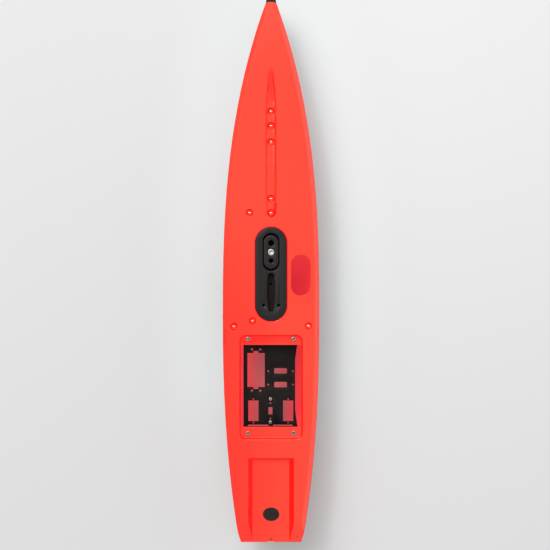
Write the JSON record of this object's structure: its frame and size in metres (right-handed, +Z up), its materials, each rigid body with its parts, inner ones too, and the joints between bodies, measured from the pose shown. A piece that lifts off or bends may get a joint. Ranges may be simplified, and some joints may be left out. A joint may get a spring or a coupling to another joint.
{
  "type": "model racing yacht hull",
  "caption": "Red racing yacht model hull with moulded deck, black keel pod and sliding mast step, open hatch over a servo tray, recessed cockpit with a bung, and a bow bumper.",
  "frame": {"origin": "under the middle of the hull, on the flat of the keel that it stands on", "axes": "+Y to the bow, +X to starboard, +Z up"},
  "size_m": [0.1144, 0.65, 0.074],
  "materials": {
    "red_abs": "gloss, faintly translucent",
    "black_nylon": "fine satin",
    "tray_black": "fine matt",
    "black_rubber": "matt",
    "stainless": "polished",
    "brass": "machined",
    "white_acetal": "satin"
  },
  "bodies": {
    "hull": {"hull_shell": "red_abs", "deck": "red_abs", "bow_bumper": "black_rubber", "keel_pod": "black_nylon", "pod_gasket": "black_rubber", "fin_case": "black_nylon", "servo_tray": "tray_black", "tray_screws": "stainless", "tray_inserts": "brass", "switch_plate": "tray_black", "switch_plate_screws": "stainless", "rudder_tube": "brass", "rudder_bush_lower": "white_acetal", "rudder_bush_upper": "white_acetal", "tack_eye_1": "stainless", "tack_eye_2": "stainless", "tack_eye_3": "stainless", "jib_eye_1": "stainless", "jib_eye_2": "stainless", "jib_sheet_eye": "stainless", "main_sheet_eye": "stainless", "shroud_eye_port": "stainless", "shroud_eye_starboard": "stainless"},
    "mast_step": {"mast_step": "black_nylon", "step_bolt": "stainless", "step_nut": "brass"},
    "bung": {"stern_bung": "black_rubber"}
  },
  "joints": [
    {"name": "step_slide", "type": "slide", "parent": "hull", "child": "mast_step", "axis": [0, 1, 0], "range_m": [-0.002, 0.002]},
    {"name": "bung_lift", "type": "slide", "parent": "hull", "child": "bung", "axis": [0, 0, 1], "range_m": [0, 0.01]}
  ]
}
